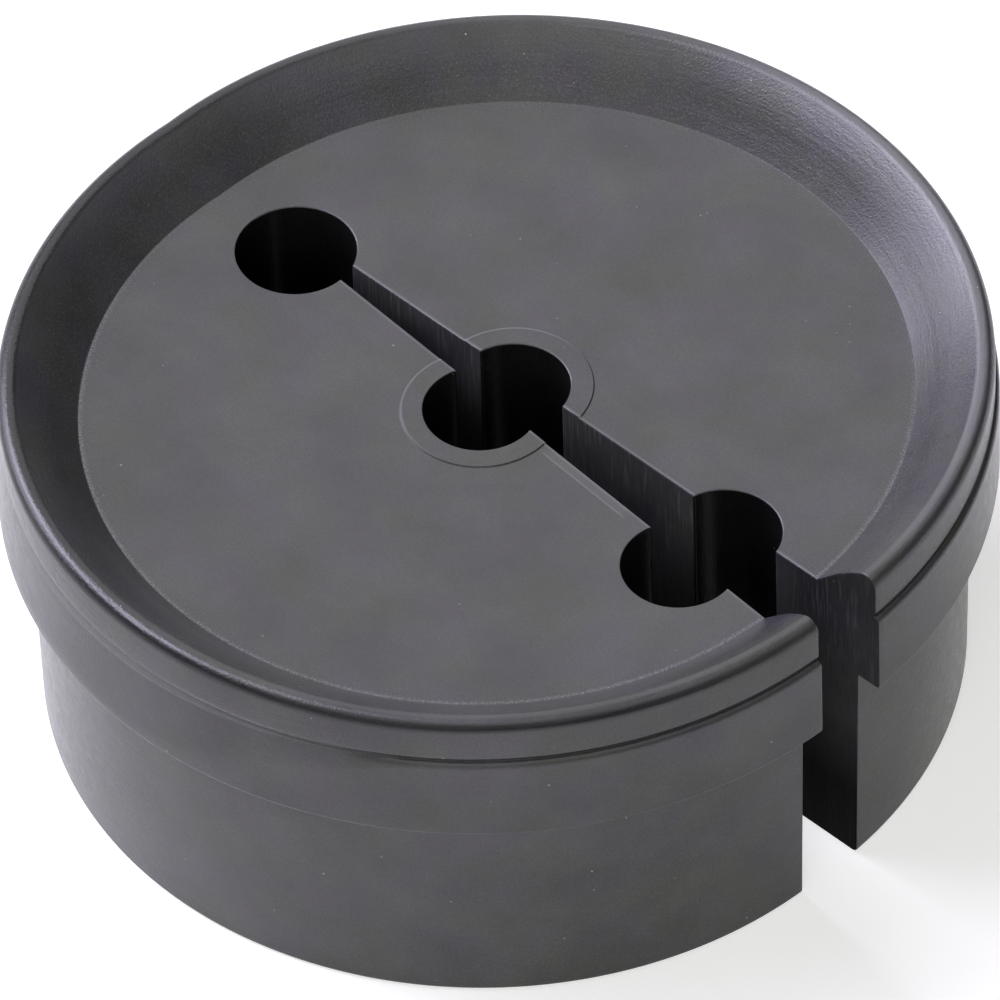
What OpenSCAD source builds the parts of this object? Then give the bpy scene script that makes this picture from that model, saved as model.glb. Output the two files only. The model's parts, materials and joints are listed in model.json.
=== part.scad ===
// Sealing insert for a cable gland, moulded in one piece from black rubber.
// A plug with a dished flange carries three cable holes in a row. One knife cut
// joins the holes to the side of the plug, so that a cable can be laid in
// sideways, and the two halves stand a little open about the uncut web.
// Millimetres. Z = 0 is the foot of the plug and +Z points out of the dish.
// The origin is on the plug's axis, and +X runs along the cut to its open mouth.

/* [Plug] */
// Height of the plug below the flange
plug_h = 9.2; // [4:0.1:20]
// Mould draft of the plug's side, in degrees
plug_draft = 1; // [0:0.1:3]
// Rounding of the foot's edge
foot_round = 0.2; // [0.05:0.05:0.6]

/* [Flange] */
// Diameter of the flange's lower band
flange_d = 34; // [32:0.5:60]
// Width of the shoulder that seats on the gland's body
shoulder_w = 1; // [0.5:0.1:3]
// Rounding of the shoulder's outer edge
shoulder_round = 0.15; // [0.05:0.05:0.4]
// Height of the band below the mould seam
lower_band_h = 3.5; // [1:0.1:8]
// Height of the band above the mould seam
upper_band_h = 1.8; // [1.2:0.1:5]
// How far the upper band stands back from the lower one
band_step = 0.15; // [0:0.01:0.4]
// Rounding of the lower band's top edge
band_round = 0.25; // [0.05:0.05:0.4]
// Height of the groove that the mould seam leaves
seam_h = 0.2; // [0.05:0.05:0.4]
// Depth of that groove in the upper band
seam_depth = 0.12; // [0.04:0.01:0.4]

/* [Dish] */
// Depth of the flat floor below the rim's crest
dish_depth = 1.85; // [1.2:0.05:4]
// Slope of the rim's inner side where it leaves the floor, in degrees
floor_slope = 45; // [35:1:60]
// Slope of the inner side where it reaches the crest, in degrees
crest_slope = 30; // [10:1:34]
// Width of the gentler slope, measured in from the outer wall
crest_slope_w = 1.4; // [1.2:0.05:2.5]
// Largest rounding between the two slopes
slope_round = 6; // [1:0.5:10]
// Rounding of the crest, over to the outer wall
rim_round = 0.45; // [0.2:0.05:0.6]

/* [Cable holes] */
// Diameter of the middle hole and of the hole at the mouth
hole_d = 4; // [2:0.1:6]
// Diameter of the hole at the hinge, which the opened cut strains wider
hinge_hole_d = 4.25; // [2:0.05:6]
// Distance from each hole to the next
hole_pitch = 10.2; // [7:0.05:12]
// Diameter of the low pad that the core pin leaves round the middle hole
pad_d = 5.6; // [4.4:0.1:8]
// Height of that pad
pad_h = 0.05; // [0.02:0.01:0.2]

/* [Cut] */
// Angle to which the two halves stand open
open_angle = 4.6; // [1:0.1:12]
// How far the knife cut misses the centres of the holes
cut_offset = 0.5; // [0:0.05:1]
// How far the bending shifts each half's side of the middle hole outwards
middle_shift = 0.1; // [0:0.01:0.3]

/* [Hidden] */

flange_r = flange_d / 2;
upper_r = flange_r - band_step;
neck_r = flange_r - shoulder_w;
foot_r = neck_r - plug_h * tan(plug_draft);
seam_z = plug_h + lower_band_h;
height = seam_z + upper_band_h;
floor_z = height - dish_depth;
// The crest's rounding turns the outline from its slope to straight down
crest_turn = crest_slope + 90;
crest_run = rim_round * tan(crest_turn / 2);
// Where the gentler slope would meet the outer wall without that rounding
crest_corner = [
    upper_r,
    height - rim_round * (1 - cos(crest_slope)) + crest_run * sin(crest_slope)
];
slope_corner = crest_corner - crest_slope_w * [1, tan(crest_slope)];
slope_turn = floor_slope - crest_slope;
slope_leg = crest_slope_w / cos(crest_slope) - crest_run;
slope_blend = min(slope_round, slope_leg / tan(slope_turn / 2));
floor_r = slope_corner.x - (slope_corner.y - floor_z) / tan(floor_slope);

hinge = [-flange_r, 0];
half_angle = open_angle / 2;
reach = 2 * flange_d;
through = 1;
curve_fn = 180;

// Half of the closed plug's section, from the axis outwards and clockwise
outline = [
    [0, floor_z],
    [floor_r, floor_z],
    slope_corner,
    crest_corner,
    [upper_r, seam_z + seam_h],
    [upper_r - seam_depth, seam_z],
    [flange_r, seam_z],
    [flange_r, plug_h],
    [neck_r, plug_h],
    [foot_r, 0],
    [0, 0]
];

// What a rounding of radius r takes off the corner p of a clockwise outline
// that reaches it on a heading and leaves it turned clockwise by turn
module rounding(p, heading, turn, r) {
    run = r * tan(turn / 2);
    start = p - run * [cos(heading), sin(heading)];
    end = p + run * [cos(heading - turn), sin(heading - turn)];
    centre = start + r * [sin(heading), -cos(heading)];
    difference() {
        polygon([centre, start, 2 * p - centre, end]);
        translate(centre) circle(r, $fn = curve_fn);
    }
}

module section() {
    difference() {
        polygon(outline);
        rounding(slope_corner, floor_slope, slope_turn, slope_blend);
        rounding(crest_corner, crest_slope, crest_turn, rim_round);
        rounding([flange_r, seam_z], 0, 90, band_round);
        rounding([flange_r, plug_h], -90, 90, shoulder_round);
        rounding([foot_r, 0], -90 - plug_draft, 90 - plug_draft, foot_round);
    }
}

module cable_hole(x, y, d) {
    translate([x, y, -through])
        cylinder(d = d, h = height + 2 * through, $fn = curve_fn);
}

// The whole plug with the cut not yet made, and with its middle hole as one of
// the two halves carries it
module closed_plug(shift) {
    difference() {
        union() {
            rotate_extrude($fn = curve_fn) section();
            translate([0, shift, plug_h])
                cylinder(d = pad_d, h = floor_z + pad_h - plug_h, $fn = curve_fn);
        }
        cable_hole(0, shift, hole_d);
        cable_hole(hole_pitch, 0, hole_d);
    }
}

// Swings its children open about the hinge: side is 1 for +Y, -1 for -Y
module swung(side) {
    translate(hinge)
        rotate(side * half_angle)
            translate(-hinge)
                children();
}

// Where swinging a half open takes a point of the closed plug
function swung_point(side, p) = let (
    a = side * half_angle,
    d = p - hinge
) hinge + [d.x * cos(a) - d.y * sin(a), d.x * sin(a) + d.y * cos(a)];

// Ground taken by one half: it ends at the web's middle up to the hinge's hole,
// and from there on at its own face of the knife cut
module half_ground(side) {
    translate([0, 0, -through])
        linear_extrude(height + 2 * through)
            polygon([
                [-reach, 0],
                [-hole_pitch, 0],
                swung_point(side, [-hole_pitch, cut_offset]),
                swung_point(side, [reach, cut_offset]),
                [reach, side * reach],
                [-reach, side * reach]
            ]);
}

module half(side) {
    intersection() {
        swung(side) closed_plug(side * middle_shift);
        half_ground(side);
    }
}

module sealing_insert() {
    color("#3d3d41")
        difference() {
            union() {
                half(1);
                half(-1);
            }
            cable_hole(-hole_pitch, 0, hinge_hole_d);
        }
}

sealing_insert();
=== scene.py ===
import json
import math

import bmesh
import bpy
from mathutils import Matrix, Quaternion, Vector


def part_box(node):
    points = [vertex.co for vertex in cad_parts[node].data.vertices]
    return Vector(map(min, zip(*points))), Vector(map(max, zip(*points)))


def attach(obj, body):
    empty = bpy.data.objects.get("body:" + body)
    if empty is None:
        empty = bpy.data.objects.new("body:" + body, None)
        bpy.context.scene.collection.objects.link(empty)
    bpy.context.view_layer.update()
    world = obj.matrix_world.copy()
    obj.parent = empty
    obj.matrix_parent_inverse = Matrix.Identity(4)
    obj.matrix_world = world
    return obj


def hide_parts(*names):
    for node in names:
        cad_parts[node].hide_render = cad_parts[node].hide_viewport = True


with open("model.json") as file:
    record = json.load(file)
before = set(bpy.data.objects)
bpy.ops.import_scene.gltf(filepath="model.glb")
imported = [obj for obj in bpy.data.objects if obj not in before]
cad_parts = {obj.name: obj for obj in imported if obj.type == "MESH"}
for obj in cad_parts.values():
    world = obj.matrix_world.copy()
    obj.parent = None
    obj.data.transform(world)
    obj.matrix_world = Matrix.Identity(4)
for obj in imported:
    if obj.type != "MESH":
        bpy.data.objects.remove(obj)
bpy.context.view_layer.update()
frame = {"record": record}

# The moulding: a plug with a dished flange, pressed as one piece in black rubber.
# Its mould leaves a fine texture on the skin, a groove round the flange where the
# mould's two plates meet, and a low pad round the core pin of the middle hole.
MM = 0.001
HAIR = 0.0001 * MM
JOIN_WITHIN = 0.001 * MM
NODE = "sealing_insert"
UP = Vector((0, 0, 1))
mounts = {mount["name"]: mount for mount in frame["record"]["mounts"]}
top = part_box(NODE)[1]

flange_r = 17 * MM
upper_r = 16.85 * MM
neck_r = 16 * MM
plug_h = mounts["shoulder"]["pos_m"][2]
draft = math.radians(1)
foot_r = neck_r - plug_h * math.tan(draft)
seam_z = plug_h + 3.5 * MM
seam_top = seam_z + 0.2 * MM
seam_r = upper_r - 0.12 * MM
floor_z = mounts["mouth_hole"]["dims"]["length_mm"] * MM

floor_slope = math.radians(45)
crest_slope = math.radians(30)
crest_w = 1.4 * MM
rim_round = 0.45 * MM
slope_round = 6 * MM
crest_run = rim_round * math.tan((crest_slope + math.pi / 2) / 2)
crest_z = top.z - rim_round * (1 - math.cos(crest_slope)) + crest_run * math.sin(crest_slope)
slope_r = upper_r - crest_w
slope_z = crest_z - crest_w * math.tan(crest_slope)
floor_r = slope_r - (slope_z - floor_z) / math.tan(floor_slope)
step_round = 0.25 * MM
under_band_round = 0.1 * MM

# Each corner of the section, with the radius of its rounding and its steps
section = [
    (floor_r, floor_z, 0.03 * MM, 3),
    (slope_r, slope_z, slope_round, 8),
    (upper_r, crest_z, rim_round, 12),
    (upper_r, seam_top, under_band_round, 4),
    (seam_r, seam_z, 0.03 * MM, 2),
    (flange_r, seam_z, step_round, 7),
    (flange_r, plug_h, 0.15 * MM, 6),
    (neck_r, plug_h, 0.1 * MM, 4),
    (foot_r, 0, 0.2 * MM, 6),
]
SWEEP_STEP = math.radians(1)

# The seam is open on the side that looks this way, and nearly shut on the other. It
# shuts as the cosine of the turn away from that bearing falls by SEAM_SHUT_OVER.
SEAM_OPEN_AT = 0.48
SEAM_SHUT_FROM = 0.2
SEAM_SHUT_OVER = 0.6
SEAM_SHUT_SHARE = 0.85
DRAWN_STEP_H = 3 * MM

# The halves stand open about the web beyond the first hole
hinge = Vector((-flange_r, 0, 0))
half_angle = math.radians(2.3)
cut_y = 0.5 * MM
edge_round = 0.07 * MM
SKIN, CUT, BORE = 0, 1, 2


def sweep(bm, line, centre, turn, step=SWEEP_STEP):
    """Sweeps a line of vertices about a centre, and returns every vertex of the surface."""
    edges = [bm.edges.get(pair) or bm.edges.new(pair) for pair in zip(line, line[1:])]
    before = len(bm.verts)
    bmesh.ops.spin(
        bm, geom=line + edges, cent=centre, axis=UP, angle=turn, steps=round(abs(turn) / step)
    )
    bm.verts.ensure_lookup_table()
    return line + bm.verts[before:]


def level(verts, z):
    """Those of the vertices that lie at the height z, in their own order."""
    return [v for v in verts if abs(v.co.z - z) < HAIR]


def fill(bm, material, *lines):
    """One flat face inside the closed line that the lines of vertices make up."""
    face = bm.faces.new([v for line in lines for v in line])
    face.material_index = material


def close_seam(skin):
    """Fills the groove, and draws the step below it out, where the seam is nearly shut."""
    for v in skin:
        r = math.hypot(v.co.x, v.co.y)
        openness = math.cos(math.atan2(v.co.y, v.co.x) - SEAM_OPEN_AT)
        shut = min(max((SEAM_SHUT_FROM - openness) / SEAM_SHUT_OVER, 0), 1)
        if seam_z - HAIR < v.co.z < seam_top + under_band_round and r < upper_r - HAIR:
            new_r = r + SEAM_SHUT_SHARE * shut * (upper_r - r)
        elif seam_z - step_round - HAIR < v.co.z < seam_z and r > seam_r:
            corner_turn = math.atan2(r - flange_r + step_round, v.co.z - seam_z + step_round)
            share = corner_turn / (math.pi / 2)
            new_r = r + shut * (upper_r + share * (flange_r - upper_r) - r)
            v.co.z += shut * (seam_z - DRAWN_STEP_H * share - v.co.z)
        else:
            continue
        v.co.x *= new_r / r
        v.co.y *= new_r / r


def section_line(bm):
    """The section's outline from the floor's edge to the foot, with its corners rounded."""
    corners = [Vector((r, 0, z)) for r, z, _, _ in section]
    befores = [Vector((0, 0, floor_z))] + corners
    afters = corners[1:] + [Vector((0, 0, 0))]
    line = []
    for corner, before, after, (_, _, radius, steps) in zip(corners, befores, afters, section):
        back = (before - corner).normalized()
        on = (after - corner).normalized()
        half_turn = (math.pi - back.angle(on)) / 2
        centre = corner + (back + on).normalized() * radius / math.cos(half_turn)
        start = bm.verts.new(corner + back * radius * math.tan(half_turn))
        first = len(bm.verts)
        bmesh.ops.spin(
            bm, geom=[start], cent=centre, axis=back.cross(on), angle=-2 * half_turn, steps=steps
        )
        bm.verts.ensure_lookup_table()
        line += [start] + bm.verts[first:]
    return line


# The holes: three core pins in a row leave them straight through the floor and
# the plug. The pin of the middle one also leaves its pad, on a slope of a tenth
# of a millimetre.
HOLE_STEP = math.radians(3)
middle_shift = 0.1 * MM
pitch = -mounts["hinge_hole"]["pos_m"][0]
pad_top = mounts["middle_hole"]["dims"]["length_mm"] * MM
pad_r = 2.8 * MM
pad_slope_w = 0.04 * MM


def ring_wall(bm, side, centre, radii, heights):
    """A wall round a hole or pad, from the cut's face on its +X side back to it."""
    starts = [math.asin((cut_y - centre.y) / r) for r in radii]
    line = [
        bm.verts.new((centre.x + r * math.cos(a), centre.y + r * math.sin(a), z))
        for r, a, z in zip(radii, starts, heights)
    ]
    turn = side * math.pi - 2 * starts[0]
    wall = sweep(bm, line, centre, turn, HOLE_STEP)
    return [level(wall, z) for z in heights]


def hinge_hole_wall(bm, side):
    """The wall of the hinge's hole, from the swung face of the cut to the web's middle."""
    radius = mounts["hinge_hole"]["dims"]["r_mm"] * MM
    centre = Vector((-pitch, 0, 0))
    tilt = side * half_angle
    start = tilt + math.asin((cut_y + (flange_r - pitch) * math.sin(tilt)) / radius)
    x = centre.x + radius * math.cos(start)
    y = radius * math.sin(start)
    line = [bm.verts.new((x, y, 0)), bm.verts.new((x, y, floor_z))]
    wall = sweep(bm, line, centre, side * math.pi - start, HOLE_STEP)
    return level(wall, 0), level(wall, floor_z)


def half(bm, side):
    """Adds one half of the plug, side 1 at +Y and side -1 at -Y, swung open about the hinge."""
    old = set(bm.verts)
    mouth = section_line(bm)
    start = math.asin(cut_y / neck_r)
    bmesh.ops.rotate(bm, cent=(0, 0, 0), matrix=Matrix.Rotation(start, 3, "Z"), verts=mouth)
    skin = sweep(bm, mouth, Vector(), side * math.pi - start)
    close_seam(skin)
    web = skin[-len(mouth):]
    flat_on_cut = Matrix.Translation((0, -cut_y, 0))
    bmesh.ops.scale(bm, vec=(1, 0, 1), space=flat_on_cut, verts=mouth)

    hole_r = mounts["mouth_hole"]["dims"]["r_mm"] * MM
    outer = Vector((pitch, 0, 0))
    middle = Vector((0, side * middle_shift, 0))
    outer_low, outer_high = ring_wall(bm, side, outer, [hole_r, hole_r], [0, floor_z])
    middle_low, middle_high = ring_wall(bm, side, middle, [hole_r, hole_r], [0, pad_top])
    pad_low, pad_high = ring_wall(
        bm, side, middle, [pad_r + pad_slope_w, pad_r], [floor_z, pad_top]
    )
    swung = [v for v in bm.verts if v not in old]
    swing = Matrix.Rotation(side * half_angle, 3, "Z")
    bmesh.ops.rotate(bm, cent=hinge, matrix=swing, verts=swung)
    bmesh.ops.scale(bm, vec=(1, 0, 1), verts=web)
    hinge_low, hinge_high = hinge_hole_wall(bm, side)
    for v in outer_low + middle_low + hinge_low:
        for face in v.link_faces:
            face.material_index = BORE

    floor_ring, foot_ring = level(skin, floor_z), level(skin, 0)
    fill(bm, SKIN, floor_ring, hinge_high[::-1], pad_low[::-1], outer_high[::-1])
    fill(bm, SKIN, pad_high, middle_high[::-1])
    for ring in (pad_low, pad_high):
        for pair in zip(ring, ring[1:]):
            bm.edges.get(pair).smooth = False
    fill(bm, SKIN, foot_ring, hinge_low[::-1], middle_low[::-1], outer_low[::-1])
    fill(bm, CUT, mouth, [outer_low[0], outer_high[0]])
    fill(
        bm, CUT, [outer_high[-1], outer_low[-1]],
        [middle_low[0], middle_high[0], pad_high[0], pad_low[0]],
    )
    fill(
        bm, CUT, [pad_low[-1], pad_high[-1], middle_high[-1], middle_low[-1]],
        [hinge_low[0], hinge_high[0]],
    )


bm = bmesh.new()
half(bm, 1)
half(bm, -1)
bmesh.ops.remove_doubles(bm, verts=bm.verts, dist=JOIN_WITHIN)
bmesh.ops.recalc_face_normals(bm, faces=bm.faces)
worked = [e for e in bm.edges if len({face.material_index for face in e.link_faces}) > 1]
bmesh.ops.bevel(
    bm, geom=worked, offset=edge_round, offset_type="OFFSET", segments=3, profile=0.5,
    affect="EDGES", material=-1, loop_slide=True,
)
for face in bm.faces:
    face.smooth = True
insert_mesh = bpy.data.meshes.new("rubber_insert")
bm.to_mesh(insert_mesh)
bm.free()
insert = bpy.data.objects.new("rubber_insert", insert_mesh)
bpy.context.scene.collection.objects.link(insert)
even = insert.modifiers.new("even shading", "WEIGHTED_NORMAL")
even.weight = 80
even.keep_sharp = True
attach(insert, "root")
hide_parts(NODE)

# The rubber: carbon-black rubber. The mould's blasted faces leave it dark grey and matt with a little
# dust, and the knife leaves its faces darker. The bores that the polished pins left are painted
# nearly black, as painted shade. The black paints shade on the crest and in the seam, the deep black
# paints shade deep in the bores and the cut, and the dust's pale colour also paints highlights.
RUBBER = (0.049, 0.0465, 0.0515, 1), (0.048, 0.0485, 0.0445, 1)
CUT_RUBBER = (0.038, 0.037, 0.041, 1), (0.039, 0.039, 0.037, 1)
BORE_RUBBER_SHADED = (0.006, 0.006, 0.0065, 1), (0.007, 0.007, 0.0065, 1)
BLACK = (0.013, 0.013, 0.0145, 1)
DEEP_SHADE_BLACK = (0.004, 0.004, 0.0045, 1)
DUST_AND_HIGHLIGHT = (0.42, 0.42, 0.43, 1)

# Where the finish has marks and painted light, in millimetres, and the bearings of the sides that
# have them
HALF_CENTRE_Y = 0.682
PAD_CENTRE_Y = 0.782
CREST_RADIUS = 16.4
CREST_HEIGHT = 14.05
SLOPE_FOOT = 11
FLOOR_INSIDE = 13.9
WORN_RADIUS = 14.02
HINGE_HOLE_END_X = -8.2
PINCH_X = 5.1
WORN_AT = -1.0
# The bearing of the side where the crest's top is darker
DARK_TOP_AT = -2.57
# The bearing of the crest's lit side, where its highlight is painted and its painted shade is lighter
LIT_CREST_AT = 1.1


def put(tree, kind, inputs, **settings):
    """Adds a shader node, with its inputs set, or linked where they are sockets."""
    node = tree.nodes.new("ShaderNode" + kind)
    for name, value in settings.items():
        setattr(node, name, value)
    for key, value in inputs.items():
        socket = next(s for i, s in enumerate(node.inputs) if key in (i, s.identifier, s.name))
        if isinstance(value, bpy.types.NodeSocket):
            tree.links.new(value, socket)
        else:
            socket.default_value = value
    return node


def calc(tree, operation, *values):
    """The output of a Math node."""
    return put(tree, "Math", dict(enumerate(values)), operation=operation).outputs[0]


def remap(tree, value, from_low, from_high, to_low, to_high):
    """A value's range turned into another one, and clamped to it."""
    ends = {"From Min": from_low, "From Max": from_high, "To Min": to_low, "To Max": to_high}
    return put(tree, "MapRange", {"Value": value, **ends}).outputs["Result"]


def band(tree, value, centre, width, core=0):
    """1 where the value is at the centre, falling to 0 at half the width to either side."""
    off = calc(tree, "ABSOLUTE", calc(tree, "SUBTRACT", value, centre))
    return remap(tree, off, core / 2, width / 2, 1, 0)


def noise(tree, place, scale, detail, roughness=0.55):
    """The value of a noise texture at a place."""
    return put(
        tree, "TexNoise", {"Vector": place, "Scale": scale, "Detail": detail, "Roughness": roughness}
    ).outputs["Fac"]


def mix(tree, share, first, second):
    """A mix of two colours."""
    return put(
        tree, "Mix", {"Factor_Float": share, "A_Color": first, "B_Color": second}, data_type="RGBA"
    ).outputs[2]


def grain_group():
    """The grain of the rubber at a place in millimetres, and the dust that lies on it.

    The grain follows the place as it is drawn out, and the dust the place as it is.
    """
    tree = bpy.data.node_groups.new("rubber grain", "ShaderNodeTree")
    for name in ("Place", "Drawn"):
        tree.interface.new_socket(name, in_out="INPUT", socket_type="NodeSocketVector")
    for name in ("Height", "Shade", "Cloud", "Roughness", "Dust and highlights"):
        tree.interface.new_socket(name, in_out="OUTPUT", socket_type="NodeSocketFloat")
    place, drawn = list(tree.nodes.new("NodeGroupInput").outputs)[:2]
    fine = noise(tree, drawn, 12, 3)
    coarse = noise(tree, drawn, 2.4, 2)
    cloud = noise(tree, place, 0.3, 3)
    height = calc(tree, "MULTIPLY_ADD", coarse, 0.25, fine)
    mottle = remap(tree, fine, 0.3, 0.7, 0.85, 1.15)
    shade = calc(tree, "MULTIPLY", mottle, remap(tree, cloud, 0.3, 0.7, 0.8, 1.2))
    cells = put(tree, "TexVoronoi", {"Vector": place, "Scale": 1.6})
    chance = put(tree, "SeparateColor", {"Color": cells.outputs["Color"]})
    size = remap(tree, chance.outputs["Red"], 0.6, 1, 0, 0.07)
    speck = calc(tree, "GREATER_THAN", size, cells.outputs["Distance"])
    dust = calc(tree, "MULTIPLY", speck, calc(tree, "MULTIPLY", chance.outputs["Green"], 0.6))
    ends = {
        "Height": height,
        "Shade": shade,
        "Cloud": remap(tree, noise(tree, place, 0.45, 2), 0.4, 0.6, 0, 1),
        "Roughness": remap(tree, coarse, 0.3, 0.7, 0.18, 0.26),
        "Dust and highlights": dust,
    }
    out = tree.nodes.new("NodeGroupOutput")
    for name, value in ends.items():
        tree.links.new(value, out.inputs[name])
    return tree


grain = grain_group()


def rubber(name, colours, stretch, relief, marks, specular):
    """A rubber of two colours that run into each other in clouds.

    Its grain is drawn out along Z by stretch, and stands relief high. The function
    marks changes the grain's values where the finish has marks of its own, and paints on shade and
    highlights.
    """
    material = bpy.data.materials.new(name)
    material.use_nodes = True
    tree = material.node_tree
    here = tree.nodes.new("ShaderNodeTexCoord").outputs["Object"]
    place = put(tree, "Mapping", {"Vector": here, "Scale": [1 / MM] * 3}).outputs["Vector"]
    drawn = put(tree, "Mapping", {"Vector": place, "Scale": (1, 1, 1 / stretch)})
    parts = put(tree, "Group", {}, node_tree=grain)
    tree.links.new(place, parts.inputs["Place"])
    tree.links.new(drawn.outputs["Vector"], parts.inputs["Drawn"])
    look = {name: parts.outputs[name] for name in ("Height", "Roughness", "Dust and highlights")}
    hue = mix(tree, parts.outputs["Cloud"], *colours)
    tint = put(tree, "VectorMath", {0: hue, "Scale": parts.outputs["Shade"]}, operation="SCALE")
    look["Colour"] = tint.outputs["Vector"]
    marks(tree, place, look)
    surface = tree.nodes["Principled BSDF"]
    bump = put(tree, "Bump", {"Height": look["Height"], "Distance": relief})
    # Dust, and on the skin painted highlights, mix in the pale colour
    dusty_and_lit = mix(tree, look["Dust and highlights"], look["Colour"], DUST_AND_HIGHLIGHT)
    tree.links.new(dusty_and_lit, surface.inputs["Base Color"])
    tree.links.new(look["Roughness"], surface.inputs["Roughness"])
    tree.links.new(bump.outputs["Normal"], surface.inputs["Normal"])
    surface.inputs["Specular IOR Level"].default_value = specular
    insert_mesh.materials.append(material)


def deep_marks(tree, place, look):
    """The walls inside are painted blacker the deeper they lie, as painted shade, and their dust lies
    near the top.
    """
    z = put(tree, "SeparateXYZ", {"Vector": place}).outputs["Z"]
    # Painted shade, deeper down the bore
    look["Colour"] = mix(tree, remap(tree, z, 3, 9.5, 1, 0), look["Colour"], DEEP_SHADE_BLACK)
    look["Dust and highlights"] = calc(tree, "MULTIPLY", look["Dust and highlights"], remap(tree, z, 10, 12, 0, 0.7))


def cut_marks(tree, place, look):
    """The cut's faces are painted black deep down by the mouth, as painted shade, with pale scratches
    near the top.
    """
    x, _, z = put(tree, "SeparateXYZ", {"Vector": place}).outputs
    # Painted shade deep down in the cut and by the mouth
    deep_shade = calc(tree, "MULTIPLY", remap(tree, z, 3, 9.5, 1, 0), remap(tree, x, 7, 9, 0.1, 1))
    deep_shade = calc(tree, "MAXIMUM", deep_shade, remap(tree, x, 11.5, 13.5, 0, 0.45))
    look["Colour"] = mix(tree, deep_shade, look["Colour"], DEEP_SHADE_BLACK)
    down = put(tree, "Mapping", {"Vector": place, "Scale": (1, 1, 0.06)}).outputs["Vector"]
    scratch = remap(tree, noise(tree, down, 8, 2), 0.55, 0.75, 0, 0.12)
    near_top = remap(tree, z, 8, 12, 0, 1)
    look["Dust and highlights"] = calc(tree, "MULTIPLY", calc(tree, "ADD", look["Dust and highlights"], scratch), near_top)
    look["Roughness"] = calc(tree, "ADD", look["Roughness"], 0.3)


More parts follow.
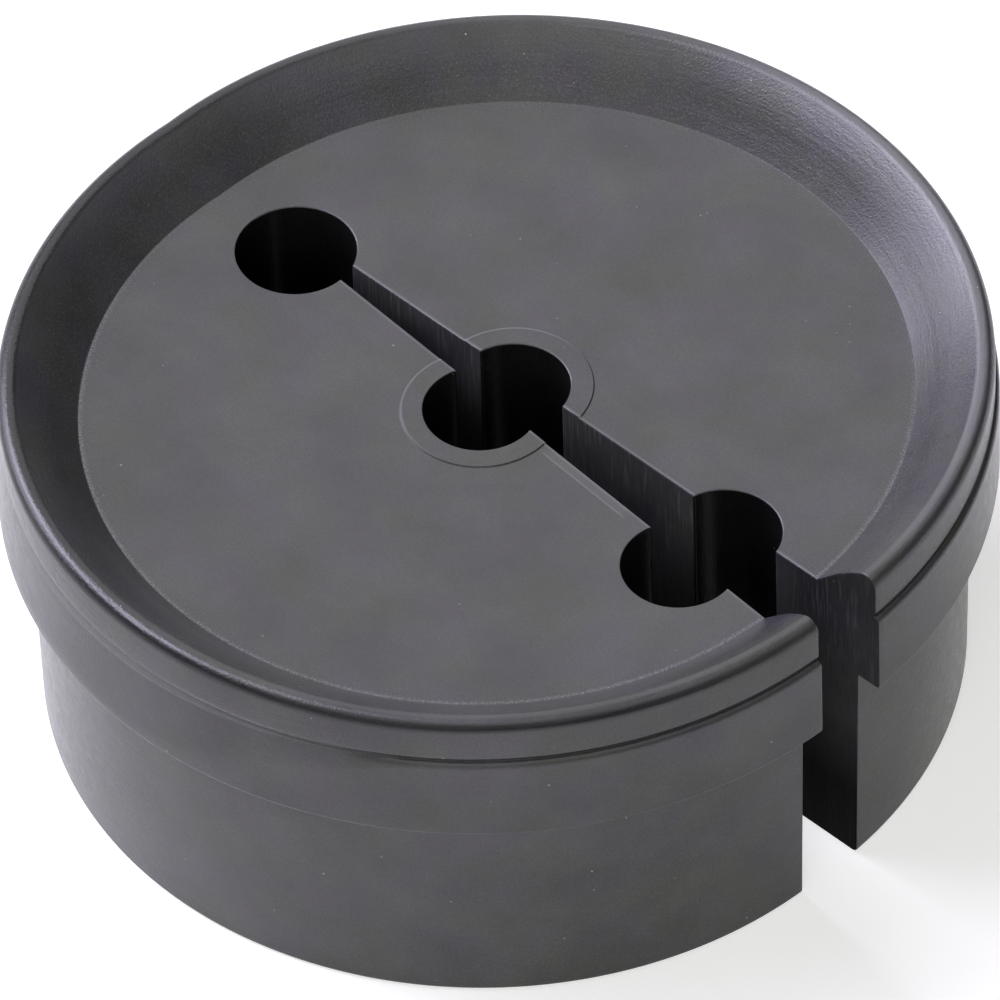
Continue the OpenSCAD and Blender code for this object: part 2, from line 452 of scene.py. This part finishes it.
def skin_marks(tree, place, look):
    """The slope's turning marks, the shiny crest with its painted shade and highlight, the seam's
    painted shade, the worn line round the floor and the painted highlights along the cut.
    """
    at = put(tree, "SeparateXYZ", {"Vector": place})
    x, y, z = at.outputs
    side_y = calc(tree, "SUBTRACT", calc(tree, "ABSOLUTE", y), HALF_CENTRE_Y)
    round_place = put(tree, "CombineXYZ", {"X": x, "Y": side_y})
    radius = put(tree, "VectorMath", {0: round_place.outputs[0]}, operation="LENGTH").outputs["Value"]
    angle = calc(tree, "ARCTAN2", side_y, x)
    bearing = calc(tree, "ARCTAN2", y, x)

    # Fine strokes run round the slope, where the mould was turned and then blasted
    turned_place = put(tree, "CombineXYZ", {"X": radius, "Y": angle, "Z": z})
    turned = noise(tree, turned_place.outputs[0], 5, 3, 0.7)
    past_floor = remap(tree, radius, FLOOR_INSIDE, FLOOR_INSIDE + 0.4, 0, 1)
    above_seam = remap(tree, z, seam_top / MM, seam_top / MM + 0.1, 0.8, 1.6)
    strength = calc(tree, "MULTIPLY", past_floor, above_seam)
    strokes = calc(tree, "MULTIPLY", turned, strength)
    on_slope = remap(tree, z, SLOPE_FOOT, SLOPE_FOOT + 0.7, 0.4, 1)
    blasted = calc(tree, "MULTIPLY", noise(tree, place, 11, 2, 0.6), on_slope)
    blasted = calc(tree, "MULTIPLY", blasted, past_floor)
    strokes = calc(tree, "MULTIPLY_ADD", blasted, 1.5, strokes)
    look["Height"] = calc(tree, "ADD", look["Height"], strokes)

    # The crest's rounding is polished. Its outer side is painted dark, as painted shade, less so on
    # the lit side, and its top is darker on one side; on the lit side it carries a painted pale
    # highlight
    crest_turn = calc(
        tree, "ARCTAN2", calc(tree, "SUBTRACT", radius, CREST_RADIUS),
        calc(tree, "SUBTRACT", z, CREST_HEIGHT),
    )
    above = calc(tree, "GREATER_THAN", z, CREST_HEIGHT)
    polished = calc(tree, "MULTIPLY", above, band(tree, crest_turn, 0.65, 1.1, 0.8))
    lit_side = calc(tree, "COSINE", calc(tree, "SUBTRACT", bearing, LIT_CREST_AT))
    dark_top_side = calc(tree, "COSINE", calc(tree, "SUBTRACT", bearing, DARK_TOP_AT))
    # Painted shade on the crest's outer side, lighter on its lit side
    outer_shade = calc(
        tree, "MULTIPLY", band(tree, crest_turn, 0.89, 1.02, 0.4),
        remap(tree, lit_side, -0.1, 0.5, 1, 0.1),
    )
    on_crest = calc(tree, "MULTIPLY", above, band(tree, crest_turn, 0, 1.2, 0.7))
    upon = calc(tree, "MULTIPLY", on_crest, remap(tree, dark_top_side, 0.3, 0.8, 0, 1))
    # A painted highlight on the crest's lit side
    crest_highlight = calc(tree, "MULTIPLY", on_crest, remap(tree, lit_side, 0.5, 0.9, 0, 0.22))
    dark = calc(tree, "MULTIPLY", above, calc(tree, "MAXIMUM", outer_shade, upon))

    # The seam's groove is painted black, as painted shade, where it is open
    open_side = calc(tree, "COSINE", calc(tree, "SUBTRACT", bearing, SEAM_OPEN_AT))
    seam_height = band(tree, z, (seam_z + seam_top) / 2 / MM, 0.36, 0.28)
    seam_place = band(tree, radius, seam_r / MM, 0.16, 0.1)
    groove = calc(tree, "MULTIPLY", seam_height, seam_place)
    seam_shade = calc(tree, "MULTIPLY", groove, remap(tree, open_side, -0.4, 0.6, 0, 1))
    look["Colour"] = mix(tree, calc(tree, "MAXIMUM", dark, seam_shade), look["Colour"], BLACK)
    smooth = calc(tree, "MULTIPLY", polished, 0.08)
    look["Roughness"] = calc(tree, "SUBTRACT", look["Roughness"], smooth)

    # A fine worn line runs round the floor, and a painted highlight runs along the lip on both sides
    # of the cut
    grit = noise(tree, place, 14, 2)
    speckle = remap(tree, grit, 0.4, 0.7, 0.02, 0.3)
    worn_side = calc(tree, "COSINE", calc(tree, "SUBTRACT", bearing, WORN_AT))
    worn_line = calc(tree, "MULTIPLY", band(tree, radius, WORN_RADIUS, 0.26), speckle)
    worn = calc(tree, "MULTIPLY", worn_line, remap(tree, worn_side, -0.4, 0.1, 0.08, 1))
    specks = remap(tree, grit, 0.52, 0.75, 0, 0.1)
    rubbed_and_crest_highlight = calc(tree, "MULTIPLY", band(tree, radius, 14.6, 3.2, 1), specks)
    swung_y = calc(tree, "MULTIPLY_ADD", y, math.cos(half_angle), -cut_y / MM)
    from_cut = calc(tree, "ABSOLUTE", swung_y)
    opening = calc(tree, "MULTIPLY", calc(tree, "ADD", x, flange_r / MM), math.sin(half_angle))
    inside = calc(tree, "SUBTRACT", from_cut, opening)
    on_floor = calc(tree, "LESS_THAN", radius, FLOOR_INSIDE)
    past_hinge = calc(tree, "MULTIPLY", on_floor, calc(tree, "GREATER_THAN", x, HINGE_HOLE_END_X))
    # A painted highlight on the lip along the cut
    lip_highlight = calc(tree, "MULTIPLY", band(tree, inside, 0.05, 0.22, 0.08), past_hinge)
    near_half = calc(tree, "LESS_THAN", y, 0)
    along = calc(tree, "MULTIPLY", band(tree, x, PINCH_X, 4.6, 3.6), near_half)
    pinch = calc(tree, "MULTIPLY", band(tree, inside, 0.2, 0.5, 0.4), 0.05)
    pinch = calc(tree, "MULTIPLY_ADD", band(tree, inside, 0.42, 0.1), 0.16, pinch)
    lines = calc(tree, "MULTIPLY_ADD", lip_highlight, 0.13, calc(tree, "MULTIPLY", pinch, along))

    # The pad's edge catches the light on the side away from the mouth
    pad_y = calc(tree, "SUBTRACT", calc(tree, "ABSOLUTE", y), PAD_CENTRE_Y)
    pad_place = put(tree, "CombineXYZ", {"X": x, "Y": pad_y})
    from_pin = put(tree, "VectorMath", {0: pad_place.outputs[0]}, operation="LENGTH").outputs["Value"]
    pad_edge = calc(tree, "MULTIPLY", band(tree, from_pin, pad_r / MM, 0.14, 0.05), on_floor)
    pad_light = calc(tree, "MULTIPLY", pad_edge, remap(tree, x, -1.5, 1, 0.2, 0))
    lines = calc(tree, "ADD", lines, pad_light)
    # The pale: the worn line and rubbed specks, with the painted highlights on the crest, along the
    # cut and on the pad's edge
    rubbed_and_crest_highlight = calc(tree, "ADD", rubbed_and_crest_highlight, crest_highlight)
    pale = calc(tree, "ADD", calc(tree, "ADD", worn, rubbed_and_crest_highlight), lines)
    look["Dust and highlights"] = calc(tree, "ADD", look["Dust and highlights"], pale)


rubber("moulded rubber", RUBBER, 1, 0.008 * MM, skin_marks, specular=0.4)
rubber("cut rubber", CUT_RUBBER, 12, 0.02 * MM, cut_marks, specular=0.02)
# The bores' rubber is painted nearly black, as painted shade
rubber("cored rubber", BORE_RUBBER_SHADED, 5, 0.006 * MM, deep_marks, specular=0.1)

# The floor, which the camera and the reflections see a little lighter than it is lit
FLOOR_HALF_WIDTH = 1.5
FLOOR_GAP = 0.01 * MM
bm = bmesh.new()
bmesh.ops.create_grid(bm, x_segments=1, y_segments=1, size=FLOOR_HALF_WIDTH)
bmesh.ops.translate(bm, vec=(0, 0, -FLOOR_GAP), verts=bm.verts)
floor_mesh = bpy.data.meshes.new("floor")
bm.to_mesh(floor_mesh)
bm.free()
floor = bpy.data.objects.new("floor", floor_mesh)
bpy.context.scene.collection.objects.link(floor)
paper = bpy.data.materials.new("paper")
paper.use_nodes = True
surface = paper.node_tree.nodes["Principled BSDF"]
surface.inputs["Base Color"].default_value = (0.72, 0.72, 0.69, 1)
surface.inputs["Specular IOR Level"].default_value = 0
surface.inputs["Emission Color"].default_value = (1, 1, 1, 1)
floor_mesh.materials.append(paper)


def seen(tree):
    """1 for the rays by which the camera sees a surface, directly, reflected or through glass."""
    rays = tree.nodes.new("ShaderNodeLightPath").outputs
    reflected = calc(tree, "MAXIMUM", rays["Is Glossy Ray"], rays["Is Transmission Ray"])
    return calc(tree, "MAXIMUM", rays["Is Camera Ray"], reflected)


tree = paper.node_tree
direct = tree.nodes.new("ShaderNodeLightPath").outputs["Is Camera Ray"]
PAPER_LIFT = 0.36
SHADOW_LIFT = 0.2
lift = calc(tree, "MULTIPLY_ADD", seen(tree), PAPER_LIFT, calc(tree, "MULTIPLY", direct, SHADOW_LIFT))
tree.links.new(lift, surface.inputs["Emission Strength"])

# The camera looks from high in front, from so far off that hardly anything shrinks
VIEW_ALONG = -0.7402
VIEW_UP = 0.8097
VIEW_ROLL = -0.0334
VIEW_DISTANCE = 557.05 * MM
FOCAL_PIXELS = 15616
PICTURE_PIXELS = 1000
SENSOR_WIDTH = 36
AIM = Vector((-5.284, 4.798, 0)) * MM
camera = bpy.data.objects.new("camera", bpy.data.cameras.new("camera"))
bpy.context.scene.collection.objects.link(camera)
back = Vector((
    math.cos(VIEW_ALONG) * math.cos(VIEW_UP),
    math.sin(VIEW_ALONG) * math.cos(VIEW_UP),
    math.sin(VIEW_UP),
))
camera.location = AIM + VIEW_DISTANCE * back
camera.rotation_mode = "QUATERNION"
camera.rotation_quaternion = (-back).to_track_quat("-Z", "Y") @ Quaternion((0, 0, 1), VIEW_ROLL)
camera.data.lens = FOCAL_PIXELS * SENSOR_WIDTH / PICTURE_PIXELS
camera.data.sensor_width = SENSOR_WIDTH
camera.data.clip_end = 10
bpy.context.scene.camera = camera

# The studio: soft lamps round the part, the strongest to its left and behind, white
# walls low down and a white ceiling. A lamp has its direction, counted from the
# picture's right, its height and its width in degrees, and its share of the light.
# The mirrored one only shows in the sheen, and the scattered one never does.
right_ground = VIEW_ALONG + math.pi / 2
NEUTRAL = (1, 1, 1)
COOL = (1, 0.97, 1.2)
lamps = {
    "key left behind": (136, 41, 26, 0.44, COOL, "both"),
    "strip left": (165, 53, 20, 0.2, COOL, "both"),
    "strip over the left": (152, 70, 20, 0.1, COOL, "both"),
    "soft left": (170, 50, 40, 0.24, COOL, "both"),
    "low left": (149, 23, 34, 0.36, COOL, "both"),
    "back": (90, 40, 50, 0.28, NEUTRAL, "mirrored"),
    "low front": (268, 10, 60, 0.72, NEUTRAL, "scattered"),
    "front fill": (255, 60, 70, 0.16, NEUTRAL, "both"),
}
for name, (round_from_right, up, width, level_share, colour, way) in lamps.items():
    lamp = bpy.data.objects.new(name, bpy.data.lights.new(name, "SUN"))
    lamp.data.energy = level_share * math.pi
    lamp.data.angle = math.radians(width)
    lamp.data.color = colour
    lamp.visible_glossy = way != "scattered"
    lamp.visible_diffuse = way != "mirrored"
    turn = right_ground + math.radians(round_from_right)
    rise = math.radians(up)
    level_x = math.cos(turn) * math.cos(rise)
    level_y = math.sin(turn) * math.cos(rise)
    towards = Vector((level_x, level_y, math.sin(rise)))
    lamp.rotation_mode = "QUATERNION"
    lamp.rotation_quaternion = towards.to_track_quat("Z", "Y")
    bpy.context.scene.collection.objects.link(lamp)

world = bpy.data.worlds.new("studio")
world.use_nodes = True
tree = world.node_tree
outlook = tree.nodes.new("ShaderNodeTexCoord").outputs["Generated"]
rise = put(tree, "SeparateXYZ", {"Vector": outlook}).outputs["Z"]
left = (-math.cos(right_ground), -math.sin(right_ground), 0)
leftward = put(tree, "VectorMath", {0: outlook, 1: left}, operation="DOT_PRODUCT").outputs["Value"]
low_wall = remap(tree, rise, 0.05, 0.4, 1, 0.12)
wall = calc(tree, "MULTIPLY", low_wall, remap(tree, leftward, -0.6, 0.2, 0.2, 1))
ceiling = remap(tree, rise, 0.65, 0.95, 0.12, 1)
tree.links.new(calc(tree, "MAXIMUM", wall, ceiling), tree.nodes["Background"].inputs["Color"])
tree.links.new(seen(tree), tree.nodes["Background"].inputs["Strength"])
bpy.context.scene.world = world
bpy.context.scene.view_settings.view_transform = "Standard"
